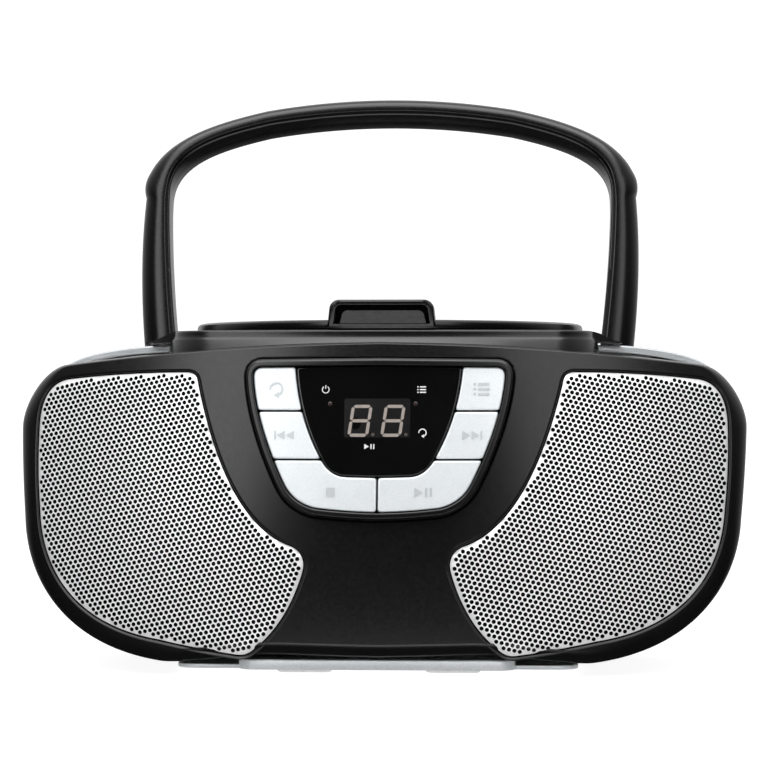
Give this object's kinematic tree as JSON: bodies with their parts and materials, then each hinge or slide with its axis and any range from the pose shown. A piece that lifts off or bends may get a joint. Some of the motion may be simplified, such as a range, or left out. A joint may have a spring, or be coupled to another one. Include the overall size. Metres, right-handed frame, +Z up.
{
  "type": "portable CD player with radio",
  "caption": "Portable CD and radio player with a bowed front, twin perforated speaker grilles, a control cluster, a top-loading lid and a folding carrying handle.",
  "frame": {"origin": "centre of the whole object's footprint, on the surface it stands on", "axes": "+X to the object's right as seen from the front, +Y to the back, +Z up; the front faces -Y"},
  "size_m": [0.2424, 0.206, 0.1972],
  "materials": {
    "black_shell": "satin black injection moulding",
    "black_trim": "gloss black plastic",
    "silver_shell": "silver painted plastic, satin",
    "silver_button": "silver painted plastic, fine satin",
    "grille_steel": "perforated sheet, silver coated",
    "smoked_lens": "polished smoked acrylic",
    "display": "dark display window",
    "circuit_board": "solder mask",
    "steel": "bright plated steel",
    "antenna_chrome": "polished chrome",
    "paper_cone": "pressed paper",
    "magnet": "sintered ferrite",
    "transformer_core": "laminated core with taped winding",
    "rubber": "matt moulded rubber",
    "inner_plastic": "textured black moulding",
    "gear_plastic": "natural acetal",
    "contact_brass": "plated brass"
  },
  "bodies": {
    "cabinet": {"front_shell": "black_shell", "grille_left": "grille_steel", "grille_right": "grille_steel", "control_bezel": "black_trim", "display_lens": "smoked_lens", "led_display": "display", "control_board": "circuit_board", "speaker_basket_left": "steel", "speaker_cone_left": "paper_cone", "speaker_magnet_left": "magnet", "speaker_basket_right": "steel", "speaker_cone_right": "paper_cone", "speaker_magnet_right": "magnet", "rear_cabinet": "silver_shell", "top_cover": "black_shell", "cd_well": "inner_plastic", "lid_hinge_pin_left": "steel", "lid_hinge_pin_right": "steel", "cd_chassis": "inner_plastic", "spindle_motor": "steel", "sled_motor": "steel", "guide_rod_left": "steel", "guide_rod_right": "steel", "main_board": "circuit_board", "transformer": "transformer_core", "battery_tray": "inner_plastic", "battery_contact_left": "contact_brass", "battery_contact_right": "contact_brass", "ac_inlet": "inner_plastic", "headphone_jack": "inner_plastic", "ferrite_aerial": "magnet", "handle_pivot_left": "steel", "handle_pivot_right": "steel", "foot_front_left": "rubber", "foot_front_right": "rubber", "foot_rear_left": "rubber", "foot_rear_right": "rubber"},
    "handle": {"handle_front": "black_shell", "handle_rear": "black_shell"},
    "lid": {"cd_lid": "black_shell", "disc_clamp": "inner_plastic"},
    "turntable": {"turntable": "inner_plastic"},
    "laser_sled": {"laser_sled": "inner_plastic"},
    "sled_gear": {"sled_gear": "gear_plastic"},
    "volume_knob": {"volume_knob": "silver_shell"},
    "tuning_knob": {"tuning_knob": "silver_shell"},
    "function_switch": {"function_switch": "black_trim"},
    "band_switch": {"band_switch": "black_trim"},
    "battery_door": {"battery_door": "silver_shell"},
    "antenna_base": {"antenna_clevis": "black_trim"},
    "antenna_mast": {"antenna_mast": "antenna_chrome"},
    "antenna_rod": {"antenna_rod": "antenna_chrome"},
    "button_repeat": {"button_repeat": "silver_button"},
    "button_program": {"button_program": "silver_button"},
    "button_skip_back": {"button_skip_back": "silver_button"},
    "button_skip_forward": {"button_skip_forward": "silver_button"},
    "button_stop": {"button_stop": "silver_button"},
    "button_play_pause": {"button_play_pause": "silver_button"}
  },
  "joints": [
    {"name": "handle_fold", "type": "hinge", "parent": "cabinet", "child": "handle", "pos_m": [0, -0.00964, 0.098], "axis": [-1, 0, 0], "range_deg": [-18, 52]},
    {"name": "lid_open", "type": "hinge", "parent": "cabinet", "child": "lid", "pos_m": [0, 0.08136, 0.1132], "axis": [-1, 0, 0], "range_deg": [0, 36]},
    {"name": "button_repeat_press", "type": "slide", "parent": "cabinet", "child": "button_repeat", "axis": [0, 1, 0], "range_m": [0, 0.001], "stiffness_N_per_m": 800, "springref_m": -0.0005},
    {"name": "button_program_press", "type": "slide", "parent": "cabinet", "child": "button_program", "axis": [0, 1, 0], "range_m": [0, 0.001], "stiffness_N_per_m": 800, "springref_m": -0.0005},
    {"name": "button_skip_back_press", "type": "slide", "parent": "cabinet", "child": "button_skip_back", "axis": [0, 1, 0], "range_m": [0, 0.001], "stiffness_N_per_m": 800, "springref_m": -0.0005},
    {"name": "button_skip_forward_press", "type": "slide", "parent": "cabinet", "child": "button_skip_forward", "axis": [0, 1, 0], "range_m": [0, 0.001], "stiffness_N_per_m": 800, "springref_m": -0.0005},
    {"name": "button_stop_press", "type": "slide", "parent": "cabinet", "child": "button_stop", "axis": [0, 1, 0], "range_m": [0, 0.001], "stiffness_N_per_m": 800, "springref_m": -0.0005},
    {"name": "button_play_pause_press", "type": "slide", "parent": "cabinet", "child": "button_play_pause", "axis": [0, 1, 0], "range_m": [0, 0.001], "stiffness_N_per_m": 800, "springref_m": -0.0005},
    {"name": "turntable_spin", "type": "hinge", "parent": "cabinet", "child": "turntable", "pos_m": [0, 0.00736, 0.1], "axis": [0, 0, 1], "continuous": true},
    {"name": "sled_travel", "type": "slide", "parent": "cabinet", "child": "laser_sled", "axis": [0, -1, 0], "range_m": [0, 0.031]},
    {"name": "sled_gear_turn", "type": "hinge", "parent": "cabinet", "child": "sled_gear", "pos_m": [0.0203, -0.02464, 0.094], "axis": [0, 0, 1], "range_deg": [0, 300]},
    {"name": "volume_turn", "type": "hinge", "parent": "cabinet", "child": "volume_knob", "pos_m": [-0.112, 0.01536, 0.06], "axis": [-1, 0, 0], "range_deg": [0, 300]},
    {"name": "tuning_turn", "type": "hinge", "parent": "cabinet", "child": "tuning_knob", "pos_m": [0.112, 0.01536, 0.06], "axis": [1, 0, 0], "range_deg": [0, 300]},
    {"name": "function_slide", "type": "slide", "parent": "cabinet", "child": "function_switch", "axis": [0, 0, 1], "range_m": [0, 0.01]},
    {"name": "band_slide", "type": "slide", "parent": "cabinet", "child": "band_switch", "axis": [0, 0, 1], "range_m": [0, 0.01]},
    {"name": "battery_door_open", "type": "hinge", "parent": "cabinet", "child": "battery_door", "pos_m": [0, 0.09426, 0.0161], "axis": [-1, 0, 0], "range_deg": [0, 80]},
    {"name": "antenna_swivel", "type": "hinge", "parent": "cabinet", "child": "antenna_base", "pos_m": [0.086, 0.09976, 0.094], "axis": [0, 1, 0], "range_deg": [0, 120]},
    {"name": "antenna_tilt", "type": "hinge", "parent": "antenna_base", "child": "antenna_mast", "pos_m": [0.086, 0.09976, 0.094], "axis": [0, 0, -1], "range_deg": [0, 80]},
    {"name": "antenna_extend", "type": "slide", "parent": "antenna_mast", "child": "antenna_rod", "axis": [-1, 0, 0], "range_m": [0, 0.12]}
  ],
  "couplings": [
    {"joint": "sled_gear_turn", "follows": "sled_travel", "rad_per_m": 166.67}
  ]
}
